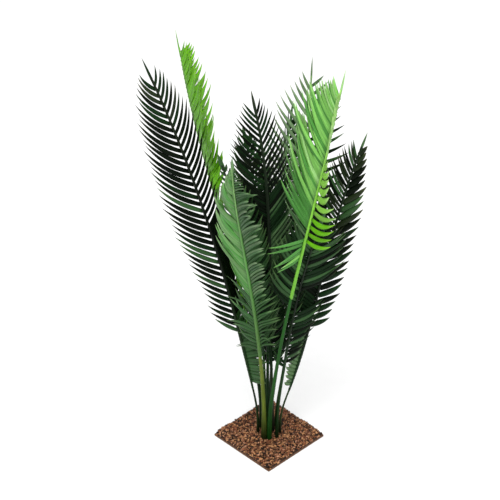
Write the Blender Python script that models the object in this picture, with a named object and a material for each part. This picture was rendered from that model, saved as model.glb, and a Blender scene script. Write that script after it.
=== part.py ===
"""Artificial parlour palm: twelve fronds in a socket on a square, gravel-covered foot.

Metres, +Z up.  The origin is the centre of the underside of the foot plate.
"""

import math
import random

import bmesh
import bpy
from mathutils import Vector
from mathutils.bvhtree import BVHTree

# Foot
FOOT_SIDE = 0.088
PLATE_THICKNESS = 0.0025
PLATE_CHAMFER = 0.0004
CLEARANCE = 0.0003
SOCKET_RADIUS = 0.0168
SOCKET_HEIGHT = 0.0032
SOCKET_SIDES = 32
HOLE_SIDES = 8
SOCKET_FLOOR = 0.0008
GRAVEL_THICKNESS = 0.0031
GRAVEL_RELIEF = 0.0008
GRAVEL_EDGE_DROP = 0.0019
GRAVEL_INSET = 0.0004
GRAVEL_JITTER = 0.0010
GRAVEL_TURNS = 60
GRAVEL_RINGS = 7
GRAVEL_SEED = 7

# Stems
STEM_TAPER = 0.72
STEM_SIDES = 6
STEM_SEGMENTS = 8
FOOT_STRAIGHT = 0.003
BEND_IN = 0.060
INNER_RING = 0.0042
OUTER_RING = 0.0125

# Blades
RIB_SHARE = 0.88
RIB_TIP_RADIUS = 0.0006
LEAFLET_LENGTH = 0.062
LENGTH_SPREAD = (0.94, 1.04)
LEAFLET_WIDTH = 0.0043
NARROWEST = 0.62
LEAFLET_THICKNESS = 0.0008
WIDEST_AT = 0.48
TIP_UPTURN = 0.15
UPTURN_SPREAD = (0.85, 1.15)
BOW = 1.6
TIP_DROOP = 0.04
SWEEP_SPREAD = 1.1
FOLD_SPREAD = 1.8
TERMINAL_SHARE = 0.5
TERMINAL_WIDEST_AT = 0.45
GROWTH_SEED = 21
SPINE_STEPS = 120

# Leaflet length as a share of the longest, from the lowest pair to the tip
LENGTH_LAW = (
    (0.0, 0.32), (0.10, 0.46), (0.20, 0.58), (0.30, 0.66), (0.42, 0.86), (0.55, 0.98),
    (0.67, 1.0), (0.80, 0.90), (0.90, 0.66), (1.0, 0.34),
)
# Angle between a leaflet and the rib, in degrees
SWEEP_LAW = ((0.0, 48.0), (0.15, 56.0), (0.50, 56.0), (0.70, 51.0), (0.85, 46.0), (1.0, 34.0))

# Ways a leaflet may be turned when its place is taken: (fold, sweep, length share)
DODGES = (
    (0, 0, 1.0), (9, 0, 1.0), (-9, 0, 1.0), (0, -6, 1.0), (0, 6, 1.0), (18, 0, 1.0), (-18, 0, 1.0),
    (9, -8, 1.0), (-9, -8, 1.0), (28, -4, 1.0), (-28, -4, 1.0), (0, -3, 0.78), (12, -3, 0.78),
    (-12, -3, 0.78), (26, -6, 0.78), (-26, -6, 0.78), (0, 0, 0.55), (15, -6, 0.55), (-15, -6, 0.55),
)


def half(fold, sweep=(0, 0), reach=(1.0, 1.0), rise=(1.0, 1.0), first=0.0, heel=(0, 0, 0.2, 2)):
    """One side of a blade.  From its foot to its tip: fold towards the front, sweep added to the rule,
    share of the rule's length and upward bend of the leaflets.  Also the share of the blade below the
    lowest leaflet, and the heel above it: the fold and sweep added there, how far it goes up and the
    power by which it fades."""
    return dict(fold=fold, sweep=sweep, reach=reach, rise=rise, first=first, heel=heel)


# Angles in degrees, lengths in metres.  foot: ring and bearing; heading: bearing of the lean at the
# foot and its turn towards the tip; lean: at foot and tip; sway: more lean half way up; bare: share of
# the length below the blade; radius: of the stem at its foot; face: bearing the blade looks to at its
# start, and its turn; size, wide and spacing: length and width of its leaflets as shares of the
# largest, and the distance between them.
FRONDS = (
    dict(name="01", foot=(OUTER_RING, 225), heading=(213, -16), lean=(11, 28), sway=0, length=0.478,
         bare=0.135, radius=0.0014, face=(348, 0), size=1.00, wide=0.84, spacing=0.0080, slot="dark",
         left=half((-4, -4), (-14, -5), (1.0, 1.07), (0.1, 1.0), first=0.20),
         right=half((-28, -28), (12, 12), (1.10, 0.62, 0.66, 0.86), (0.5, 1.0), heel=(110, 26, 0.2, 2))),
    dict(name="02", foot=(OUTER_RING, 180), heading=(217, -73), lean=(4, 52), sway=4.5, length=0.485,
         bare=0.24, radius=0.0022, face=(58, 0), size=0.96, wide=1.20, spacing=0.0100, slot="lime",
         left=half((0, 16), (-27, 32), (1.00, 1.10), (0.0, 0.8, 1.0)),
         right=half((-6, 55), (-10, 6, 16, 20, 22), (0.45, 0.50, 0.80, 1.05, 1.30),
                    (0.0, 0.8, 1.0))),
    dict(name="03", foot=(OUTER_RING, 289), heading=(262, 55), lean=(0, 33), sway=6.6, length=0.466,
         bare=0.265, radius=0.0027, face=(275, 0), size=0.90, wide=1.45, spacing=0.0100, slot="medium",
         left=half((-26, 50), (4, -4, -20, -28, -34), (1.25, 1.25, 0.95, 0.75), (-1.0, 1.0, 1.0, 1.0, 1.0),
                   heel=(50, 14, 0.2, 2)),
         right=half((2, -6), (-18, -20, -22, 2), (1.25, 0.88, 0.86, 0.90, 0.35),
                    (-1.8, -0.5, -0.4, -0.4, -0.4), heel=(0, 14, 0.2, 2))),
    dict(name="04", foot=(INNER_RING, 160), heading=(160, 31), lean=(3, 17), sway=-6.4, length=0.439,
         bare=0.26, radius=0.0020, face=(330, 0), size=0.84, wide=0.80, spacing=0.0070, slot="dark",
         left=half((-14, -14), (-6, -4), (1.0, 1.05), (0.4, 0.4)),
         right=half((-22, -12), (-8, -6), (0.9, 0.95), (0.4, 0.4))),
    dict(name="05", foot=(INNER_RING, 250), heading=(239, -1), lean=(0, 19), sway=2.4, length=0.386,
         bare=0.30, radius=0.0017, face=(315, 0), size=0.72, wide=1.10, spacing=0.0090, slot="dark",
         left=half((-16, -16), reach=(1.0, 0.45)), right=half((-16, -16), reach=(1.0, 0.6))),
    dict(name="06", foot=(OUTER_RING, 317), heading=(344, 31), lean=(7, 8), sway=5.8, length=0.527,
         bare=0.425, radius=0.0022, face=(270, -8), size=1.12, wide=1.15, spacing=0.0100, slot="lime",
         left=half((-18, 28), (90, 46, 18, -14, -10, -6, -2), (0.60, 0.62, 1.00, 1.25, 1.10, 0.95, 0.90),
                   (0.6, 0.6), first=0.20, heel=(80, 36, 0.12, 8)),
         right=half((-9, 71), (7, -3), (1.20, 1.05, 0.75), (0.6, 1.1), first=0.28)),
    dict(name="07", foot=(OUTER_RING, 90), heading=(88, 7), lean=(14, 1), sway=-4.6, length=0.466,
         bare=0.26, radius=0.0022, face=(290, 0), size=1.02, wide=1.00, spacing=0.0106, slot="medium",
         left=half((40, 36, 10), (-24, -14, -8), (1.35, 1.25, 0.85), (0.5, 0.3)),
         right=half((14, 13), (-2, 8), (0.81, 1.03), (0.3, 0.3))),
    dict(name="08", foot=(OUTER_RING, 45), heading=(35, 18), lean=(22, 20), sway=-11.2, length=0.409,
         bare=0.16, radius=0.0014, face=(305, 0), size=0.82, wide=1.30, spacing=0.0100, slot="dark",
         left=half((36, -10), (-2, -4), (0.9, 1.0), (0.4, 0.4), heel=(20, 15, 0.2, 2)),
         right=half((8, 2), (-6, -12), (0.78, 0.74), (0.4, 0.4), first=0.27)),
    dict(name="09", foot=(OUTER_RING, 135), heading=(118, 6), lean=(8, 30), sway=0, length=0.390,
         bare=0.26, radius=0.0018, face=(262, 0), size=0.90, wide=1.10, spacing=0.0106, slot="medium",
         left=half((-20, -20)), right=half((-20, -20))),
    dict(name="10", foot=(INNER_RING, 70), heading=(155, 15), lean=(4, 25), sway=0, length=0.378,
         bare=0.23, radius=0.0020, face=(305, 0), size=0.75, wide=1.20, spacing=0.0095, slot="dark",
         left=half((-8, -8)), right=half((-8, -8))),
    dict(name="11", foot=(INNER_RING, 340), heading=(60, 0), lean=(6, 22), sway=0, length=0.340,
         bare=0.28, radius=0.0017, face=(225, 0), size=0.88, wide=1.30, spacing=0.0106, slot="dark",
         left=half((-16, -16)), right=half((-16, -16))),
    dict(name="12", foot=(OUTER_RING, 0), heading=(12, 12), lean=(6, 18), sway=0, length=0.330,
         bare=0.30, radius=0.0017, face=(325, 0), size=0.84, wide=1.30, spacing=0.0106, slot="dark",
         left=half((-16, -16)), right=half((-4, -4), (8, 8))),
)

# Heights that follow from the sizes above
PLATE_TOP = PLATE_THICKNESS
SOCKET_BOTTOM = PLATE_TOP + CLEARANCE
SOCKET_TOP = SOCKET_BOTTOM + SOCKET_HEIGHT
FEET_Z = SOCKET_BOTTOM + SOCKET_FLOOR + CLEARANCE


def interpolate(law, x):
    """Value at x of a line through (x, value) pairs."""
    for (x0, y0), (x1, y1) in zip(law, law[1:]):
        if x <= x1:
            return y0 + (y1 - y0) * (x - x0) / (x1 - x0)
    return law[-1][1]


def between(values, x):
    """Value at x of a line through values that are spaced evenly from 0 to 1."""
    place = min(1.0, max(0.0, x)) * (len(values) - 1)
    i = min(int(place), len(values) - 2)
    return values[i] + (values[i + 1] - values[i]) * (place - i)


def smooth_step(x):
    x = min(1.0, max(0.0, x))
    return x * x * (3.0 - 2.0 * x)


def bearing(degrees):
    a = math.radians(degrees)
    return Vector((math.cos(a), math.sin(a), 0.0))


def make_object(name, mesh, slot):
    obj = bpy.data.objects.new(name, mesh)
    obj.data.materials.append(MATERIALS[slot])
    bpy.context.scene.collection.objects.link(obj)
    return obj


def mesh_from(name, points, faces, smooth=False):
    mesh = bpy.data.meshes.new(name)
    mesh.from_pydata([tuple(p) for p in points], [], faces)
    mesh.validate()
    mesh.update()
    if smooth:
        mesh.polygons.foreach_set("use_smooth", [True] * len(mesh.polygons))
    return mesh


def plain_material(name, color, roughness):
    material = bpy.data.materials.new(name)
    material.use_nodes = True
    shader = material.node_tree.nodes["Principled BSDF"]
    shader.inputs["Base Color"].default_value = (*color, 1.0)
    shader.inputs["Roughness"].default_value = roughness
    material.diffuse_color = (*color, 1.0)
    return material


class Spine:
    """The centre line of one stem and rib: straight out of the socket, then leaning and turning."""

    def __init__(self, foot, heading, lean, sway, length):
        ring, foot_bearing = foot
        foot = bearing(foot_bearing) * ring
        point = Vector((foot.x, foot.y, FEET_Z))
        self.length = length
        self.points = [point.copy()]
        step = length / SPINE_STEPS
        for i in range(SPINE_STEPS):
            u = (i + 0.5) / SPINE_STEPS
            s = u * length
            angle = math.radians(lean[0] + (lean[1] - lean[0]) * u * u + 4.0 * sway * u * (1.0 - u))
            angle *= smooth_step((s - FOOT_STRAIGHT) / BEND_IN)
            across = bearing(heading[0] + heading[1] * u)
            point = point + step * (across * math.sin(angle) + Vector((0, 0, math.cos(angle))))
            self.points.append(point.copy())

    def at(self, s):
        """Point and unit tangent at the distance s along the line."""
        x = min(max(s / self.length, 0.0), 1.0) * SPINE_STEPS
        i = min(int(x), SPINE_STEPS - 1)
        a, b = self.points[i], self.points[i + 1]
        return a.lerp(b, x - i), (b - a).normalized()


def cross_frame(tangent, face):
    """Unit side and normal of a blade whose front looks to the horizontal direction face."""
    side = tangent.cross(face).normalized()
    return side, side.cross(tangent).normalized()


def tube(spine, s0, s1, r0, r1, segments, sides):
    """Points and faces of a closed tapering tube along part of a spine."""
    points = []
    faces = []
    for k in range(segments + 1):
        t = k / segments
        centre, tangent = spine.at(s0 + (s1 - s0) * t)
        side, normal = cross_frame(tangent, Vector((0.0, -1.0, 0.0)))
        radius = r0 + (r1 - r0) * t
        for j in range(sides):
            a = 2.0 * math.pi * j / sides
            points.append(centre + radius * (math.cos(a) * side + math.sin(a) * normal))
    for k in range(segments):
        for j in range(sides):
            n = (j + 1) % sides
            faces.append((k * sides + j, (k + 1) * sides + j, (k + 1) * sides + n, k * sides + n))
    faces.append(tuple(range(sides)))
    faces.append(tuple(segments * sides + j for j in reversed(range(sides))))
    return points, faces


def leaflet_line(t, root, along, across, flat, length, bend):
    """Point at the share t of a leaflet's centre line, which bows back and then up to the tip."""
    rise = bend * t * (t * (1.0 + BOW) - BOW)
    return root + length * (along * t + across * rise - flat * (TIP_DROOP * t * t))


def leaflet_points(root, tangent, side, normal, hand, sweep, fold, length, width, thickness, bend):
    """Four corners of the widest section of a leaflet, lower edge first, and its tip."""
    outward = hand * side * math.cos(fold) + normal * math.sin(fold)
    along = tangent * math.cos(sweep) + outward * math.sin(sweep)
    across = tangent * math.sin(sweep) - outward * math.cos(sweep)
    flat = outward.cross(tangent).normalized() * hand
    middle = leaflet_line(WIDEST_AT, root, along, across, flat, length, bend)
    tip = leaflet_line(1.0, root, along, across, flat, length, bend)
    half = 0.5 * width
    deep = 0.5 * thickness
    corners = [
        middle - across * half + flat * deep,
        middle + across * half + flat * deep,
        middle + across * half - flat * deep,
        middle - across * half - flat * deep,
    ]
    return corners, tip


class Blade:
    """One frond: a three-sided rib with a leaflet drawn out of every second face on either side."""

    def __init__(self, spec):
        self.name = spec["name"]
        self.slot = spec["slot"]
        self.size = spec["size"]
        self.wide = spec["wide"]
        self.face = spec["face"]
        self.halves = {-1: spec["left"], 1: spec["right"]}
        length = spec["length"]
        self.spine = Spine(spec["foot"], spec["heading"], spec["lean"], spec["sway"], length)
        self.radius = spec["radius"]
        self.stem_end = spec["bare"] * length
        self.start = self.stem_end + CLEARANCE
        self.terminal = TERMINAL_SHARE * LEAFLET_LENGTH * self.size
        self.end = length - self.terminal
        self.stations = 2 * int((self.end - self.start) / spec["spacing"]) + 1
        self.leaflets = []

    def frame_at(self, s):
        centre, tangent = self.spine.at(s)
        v = (s - self.start) / (self.end - self.start)
        side, normal = cross_frame(tangent, bearing(self.face[0] + self.face[1] * v))
        return centre, tangent, side, normal

    def radius_at(self, s):
        v = (s - self.start) / (self.end - self.start)
        root = self.radius * STEM_TAPER * RIB_SHARE
        return root + (RIB_TIP_RADIUS - root) * v

    def rib_points(self):
        points = []
        for k in range(self.stations + 1):
            s = self.start + (self.end - self.start) * k / self.stations
            centre, tangent, side, normal = self.frame_at(s)
            r = self.radius_at(s)
            points.append(centre - side * r + normal * (0.5 * r))
            points.append(centre + side * r + normal * (0.5 * r))
            points.append(centre - normal * r)
        return points

    def rib_faces(self, skip=()):
        faces = [(0, 2, 1)]
        for k in range(self.stations):
            a = 3 * k
            left, right = (k, -1) in skip, (k, 1) in skip
            faces.append((a, a + 1, a + 4, a + 3))
            if not left:
                faces.append((a, a + 3, a + 5, a + 2))
            if not right:
                faces.append((a + 1, a + 2, a + 5, a + 4))
        return faces

    def terminal_points(self):
        centre, tangent, side, normal = self.frame_at(self.end)
        middle = centre + tangent * (TERMINAL_WIDEST_AT * self.terminal)
        half = 0.5 * LEAFLET_WIDTH * self.wide
        deep = 0.5 * LEAFLET_THICKNESS
        tip = centre + tangent * self.terminal - normal * (TIP_DROOP * self.terminal)
        return [
            middle - side * half + normal * deep,
            middle + side * half + normal * deep,
            middle - normal * deep,
            tip,
        ]

    def root_loop(self, k, hand):
        """The rib corners that a leaflet is drawn from, lower front corner first."""
        a = 3 * k
        if hand < 0:
            return (a, a + 3, a + 5, a + 2)
        return (a + 1, a + 4, a + 5, a + 2)

    def grow(self, rng, taken):
        """Give every second rib face a leaflet, turned or shortened until it clears all in taken."""
        rib = self.rib_points()
        recent = {-1: [], 1: []}
        for k in range(1, self.stations):
            hand = -1 if k % 2 else 1
            s = self.start + (self.end - self.start) * (k + 0.5) / self.stations
            v = (s - self.start) / (self.end - self.start)
            rule = self.halves[hand]
            if v < rule["first"]:
                continue
            tangent, side, normal = self.frame_at(s)[1:]
            loop = self.root_loop(k, hand)
            corners = [rib[i] for i in loop]
            root = sum(corners, Vector()) / 4.0
            share = interpolate(LENGTH_LAW, v)
            full = LEAFLET_LENGTH * self.size * share * between(rule["reach"], v)
            full *= rng.uniform(*LENGTH_SPREAD)
            width = LEAFLET_WIDTH * self.wide * between((NARROWEST, 1.0), share)
            heel_fold, heel_sweep, heel_span, power = rule["heel"]
            heel = max(0.0, 1.0 - ((v - rule["first"]) / heel_span) ** power)
            sweep = interpolate(SWEEP_LAW, v) + between(rule["sweep"], v) + heel_sweep * heel
            sweep += rng.uniform(-SWEEP_SPREAD, SWEEP_SPREAD)
            fold = between(rule["fold"], v) + heel_fold * heel
            fold += rng.uniform(-FOLD_SPREAD, FOLD_SPREAD)
            bend = TIP_UPTURN * between(rule["rise"], v) * rng.uniform(*UPTURN_SPREAD)
            for more_fold, more_sweep, shorter in DODGES:
                pose = (root, tangent, side, normal, hand, math.radians(sweep + more_sweep),
                        math.radians(fold + more_fold))
                wide = leaflet_points(*pose, full * shorter + 2.0 * CLEARANCE, width + 3.0 * CLEARANCE,
                                      LEAFLET_THICKNESS + 3.0 * CLEARANCE, bend)
                tree = leaflet_tree(corners, *wide)
                if any(tree.overlap(other) for other in taken + recent[hand][-2:] + recent[-hand][-1:]):
                    continue
                section, tip = leaflet_points(*pose, full * shorter, width, LEAFLET_THICKNESS, bend)
                self.leaflets.append((k, hand, section, tip))
                recent[hand].append(leaflet_tree(corners, section, tip, lift=0.25))
                break

    def geometry(self):
        points = self.rib_points()
        faces = self.rib_faces({(k, hand) for k, hand, _, _ in self.leaflets})
        for k, hand, section, tip in self.leaflets:
            loop = self.root_loop(k, hand)
            base = len(points)
            points.extend(section)
            points.append(tip)
            for i in range(4):
                n = (i + 1) % 4
                quad = (loop[i], loop[n], base + n, base + i)
                point = (base + i, base + n, base + 4)
                faces.append(quad if hand < 0 else tuple(reversed(quad)))
                faces.append(point if hand < 0 else tuple(reversed(point)))
        base = len(points)
        last = 3 * self.stations
        points.extend(self.terminal_points())
        for i in range(3):
            n = (i + 1) % 3
            faces.append((last + i, last + n, base + n, base + i))
            faces.append((base + i, base + n, base + 3))
        return points, faces


def leaflet_tree(corners, section, tip, lift=0.0):
    """Search tree of a leaflet from its rib face (moved outward by the share lift) to its tip."""
    roots = [a.lerp(b, lift) for a, b in zip(corners, section)]
    points = roots + section + [tip]
    faces = []
    for i in range(4):
        n = (i + 1) % 4
        faces.append((i, n, 4 + n, 4 + i))
        faces.append((4 + i, 4 + n, 8))
    return BVHTree.FromPolygons(points, faces)


def build_plate():
    mesh = bpy.data.meshes.new("base_plate")
    bm = bmesh.new()
    bmesh.ops.create_cube(bm, size=1.0)
    bmesh.ops.scale(bm, vec=(FOOT_SIDE, FOOT_SIDE, PLATE_THICKNESS), verts=bm.verts)
    bmesh.ops.translate(bm, vec=(0.0, 0.0, 0.5 * PLATE_THICKNESS), verts=bm.verts)
    bmesh.ops.bevel(bm, geom=bm.edges[:], offset=PLATE_CHAMFER, segments=1, affect="EDGES")
    bm.to_mesh(mesh)
    bm.free()
    return make_object("base_plate", mesh, "foot_plastic")


def build_socket(blades):
    """Round socket with one blind hole for the foot of every stem."""
    mesh = bpy.data.meshes.new("stem_socket")
    bm = bmesh.new()
    bmesh.ops.create_cone(bm, cap_ends=True, segments=SOCKET_SIDES, radius1=SOCKET_RADIUS,
                          radius2=SOCKET_RADIUS, depth=SOCKET_HEIGHT)
    bmesh.ops.translate(bm, vec=(0.0, 0.0, SOCKET_BOTTOM + 0.5 * SOCKET_HEIGHT), verts=bm.verts)
    bm.to_mesh(mesh)
    bm.free()
    socket = make_object("stem_socket", mesh, "foot_plastic")
    cutter_mesh = bpy.data.meshes.new("stem_holes")
    bm = bmesh.new()
    depth = 2.0 * SOCKET_HEIGHT
    for blade in blades:
        foot = blade.spine.points[0]
        hole_radius = (blade.radius + CLEARANCE) / math.cos(math.pi / HOLE_SIDES)
        made = bmesh.ops.create_cone(bm, cap_ends=True, segments=HOLE_SIDES, radius1=hole_radius,
                                     radius2=hole_radius, depth=depth)
        floor = SOCKET_BOTTOM + SOCKET_FLOOR
        bmesh.ops.translate(bm, vec=(foot.x, foot.y, floor + 0.5 * depth), verts=made["verts"])
    bm.to_mesh(cutter_mesh)
    bm.free()
    holes = bpy.data.objects.new("stem_holes", cutter_mesh)
    bpy.context.scene.collection.objects.link(holes)
    holes.hide_render = True
    holes.display_type = "WIRE"
    cut = socket.modifiers.new("holes", "BOOLEAN")
    cut.operation = "DIFFERENCE"
    cut.solver = "EXACT"
    cut.object = holes
    return socket


def square_reach(angle):
    """Distance from the centre of a unit square to its side at this angle."""
    return 0.5 / max(abs(math.cos(angle)), abs(math.sin(angle)))


def build_gravel():
    """Bed of glued gravel: a square ring with a bumpy top around the socket."""
    rng = random.Random(GRAVEL_SEED)
    inner = SOCKET_RADIUS + CLEARANCE
    side = FOOT_SIDE - 2.0 * GRAVEL_INSET
    low = PLATE_TOP + CLEARANCE
    points = []
    faces = []
    for ring in range(GRAVEL_RINGS + 1):
        t = ring / GRAVEL_RINGS
        for j in range(GRAVEL_TURNS):
            a = 2.0 * math.pi * j / GRAVEL_TURNS
            reach = inner + (side * square_reach(a) - inner) * t
            shift = 0.0 if ring in (0, GRAVEL_RINGS) else rng.uniform(-GRAVEL_JITTER, GRAVEL_JITTER)
            height = GRAVEL_THICKNESS + rng.uniform(-1.0, 1.0) * GRAVEL_RELIEF
            if ring == GRAVEL_RINGS:
                height -= GRAVEL_EDGE_DROP
            spot = bearing(math.degrees(a)) * (reach + shift)
            points.append((spot.x, spot.y, low + height))
    for ring in (0, GRAVEL_RINGS):
        base = ring * GRAVEL_TURNS
        points.extend((points[base + j][0], points[base + j][1], low) for j in range(GRAVEL_TURNS))
    under_inner = (GRAVEL_RINGS + 1) * GRAVEL_TURNS
    under_outer = under_inner + GRAVEL_TURNS
    outer = GRAVEL_RINGS * GRAVEL_TURNS
    for j in range(GRAVEL_TURNS):
        n = (j + 1) % GRAVEL_TURNS
        for ring in range(GRAVEL_RINGS):
            a = ring * GRAVEL_TURNS
            b = a + GRAVEL_TURNS
            faces.append((a + j, b + j, b + n, a + n))
        faces.append((outer + j, under_outer + j, under_outer + n, outer + n))
        faces.append((under_outer + j, under_inner + j, under_inner + n, under_outer + n))
        faces.append((under_inner + j, j, n, under_inner + n))
    return make_object("gravel_bed", mesh_from("gravel_bed", points, faces), "gravel")


def build():
    rng = random.Random(GROWTH_SEED)
    blades = [Blade(spec) for spec in FRONDS]
    stems = {}
    ribs = {}
    for blade in blades:
        top_radius = blade.radius * STEM_TAPER
        stem = tube(blade.spine, 0.0, blade.stem_end, blade.radius, top_radius, STEM_SEGMENTS, STEM_SIDES)
        mesh = mesh_from("stem_" + blade.name, *stem, smooth=True)
        make_object("stem_" + blade.name, mesh, "stem_plastic")
        stems[blade.name] = BVHTree.FromPolygons(*stem)
        ribs[blade.name] = BVHTree.FromPolygons(*blade.geometry())
    grown = []
    for blade in blades:
        others = [tree for name, tree in stems.items() if name != blade.name]
        others += [tree for name, tree in ribs.items() if name != blade.name]
        blade.grow(rng, others + grown)
        points, faces = blade.geometry()
        grown.append(BVHTree.FromPolygons(points, faces))
        mesh = mesh_from("frond_" + blade.name, points, faces)
        make_object("frond_" + blade.name, mesh, "frond_" + blade.slot)
    build_plate()
    build_socket(blades)
    build_gravel()
    return blades


for old in list(bpy.data.objects):
    bpy.data.objects.remove(old, do_unlink=True)

MATERIALS = {
    "frond_dark": plain_material("frond_dark", (0.022, 0.065, 0.020), 0.5),
    "frond_medium": plain_material("frond_medium", (0.090, 0.240, 0.075), 0.55),
    "frond_lime": plain_material("frond_lime", (0.180, 0.420, 0.030), 0.5),
    "stem_plastic": plain_material("stem_plastic", (0.060, 0.140, 0.035), 0.5),
    "foot_plastic": plain_material("foot_plastic", (0.045, 0.030, 0.022), 0.6),
    "gravel": plain_material("gravel", (0.300, 0.160, 0.095), 0.7),
}

BLADES = build()
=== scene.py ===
"""Looks of the artificial parlour palm: fine leaflets, ribs, stems and loose-looking gravel.

Metres, +Z up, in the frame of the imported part.  The fronds are grown again here by the rule of the
part's source and carried to curved, keeled leaflets.
"""

import math
import random
from itertools import combinations

import bpy
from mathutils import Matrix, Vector
from mathutils.bvhtree import BVHTree


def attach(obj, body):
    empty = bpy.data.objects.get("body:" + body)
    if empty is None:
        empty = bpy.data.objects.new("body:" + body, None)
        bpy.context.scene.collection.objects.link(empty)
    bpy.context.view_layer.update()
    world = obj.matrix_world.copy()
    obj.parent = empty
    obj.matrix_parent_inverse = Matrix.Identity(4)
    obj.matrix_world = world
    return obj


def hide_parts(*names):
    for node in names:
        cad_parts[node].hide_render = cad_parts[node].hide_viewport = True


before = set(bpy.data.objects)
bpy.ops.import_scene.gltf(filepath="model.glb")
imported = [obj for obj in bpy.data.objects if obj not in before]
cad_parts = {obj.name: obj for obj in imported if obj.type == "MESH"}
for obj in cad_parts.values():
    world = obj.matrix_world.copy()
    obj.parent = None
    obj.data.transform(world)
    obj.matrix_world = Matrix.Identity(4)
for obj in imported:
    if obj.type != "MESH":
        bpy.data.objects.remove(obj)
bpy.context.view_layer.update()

# Foot
FOOT_SIDE = 0.088
PLATE_THICKNESS = 0.0025
CLEARANCE = 0.0003
SOCKET_FLOOR = 0.0008
# The stems stand on the floor of the socket, which stands on the plate
FEET_Z = PLATE_THICKNESS + CLEARANCE + SOCKET_FLOOR + CLEARANCE

# Stems: plain sizes, and the direction from which their sides are counted
ROUND_FACE = Vector((0.0, -1.0, 0.0))
STEM_TAPER = 0.72
STEM_SIDES = 6
STEM_SEGMENTS = 8
FOOT_STRAIGHT = 0.003
BEND_IN = 0.060
INNER_RING = 0.0042
OUTER_RING = 0.0125

# Blades
RIB_SHARE = 0.88
RIB_TIP_RADIUS = 0.0006
LEAFLET_LENGTH = 0.062
LENGTH_SPREAD = (0.94, 1.04)
LEAFLET_WIDTH = 0.0043
NARROWEST = 0.62
LEAFLET_THICKNESS = 0.0008
WIDEST_AT = 0.48
TIP_UPTURN = 0.15
UPTURN_SPREAD = (0.85, 1.15)
BOW = 1.6
TIP_DROOP = 0.04
SWEEP_SPREAD = 1.1
FOLD_SPREAD = 1.8
TERMINAL_SHARE = 0.5
TERMINAL_WIDEST_AT = 0.45
GROWTH_SEED = 21
SPINE_STEPS = 120

# Leaflet length as a share of the longest, from the lowest pair to the tip
LENGTH_LAW = (
    (0.0, 0.32), (0.10, 0.46), (0.20, 0.58), (0.30, 0.66), (0.42, 0.86), (0.55, 0.98),
    (0.67, 1.0), (0.80, 0.90), (0.90, 0.66), (1.0, 0.34),
)
# Angle between a leaflet and the rib, in degrees
SWEEP_LAW = ((0.0, 48.0), (0.15, 56.0), (0.50, 56.0), (0.70, 51.0), (0.85, 46.0), (1.0, 34.0))

# Ways a leaflet may be turned when its place is taken: (fold, sweep, length share)
DODGES = (
    (0, 0, 1.0), (9, 0, 1.0), (-9, 0, 1.0), (0, -6, 1.0), (0, 6, 1.0), (18, 0, 1.0), (-18, 0, 1.0),
    (9, -8, 1.0), (-9, -8, 1.0), (28, -4, 1.0), (-28, -4, 1.0), (0, -3, 0.78), (12, -3, 0.78),
    (-12, -3, 0.78), (26, -6, 0.78), (-26, -6, 0.78), (0, 0, 0.55), (15, -6, 0.55), (-15, -6, 0.55),
)


def half(fold, sweep=(0, 0), reach=(1.0, 1.0), rise=(1.0, 1.0), first=0.0, heel=(0, 0, 0.2, 2)):
    """One side of a blade.  From foot to tip: fold towards the front, sweep added to the rule, share
    of the rule's length and upward bend.  Also the share of the blade below the lowest leaflet, and
    the heel above it: fold and sweep added there, its reach up and the power by which it fades."""
    return dict(fold=fold, sweep=sweep, reach=reach, rise=rise, first=first, heel=heel)


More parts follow.
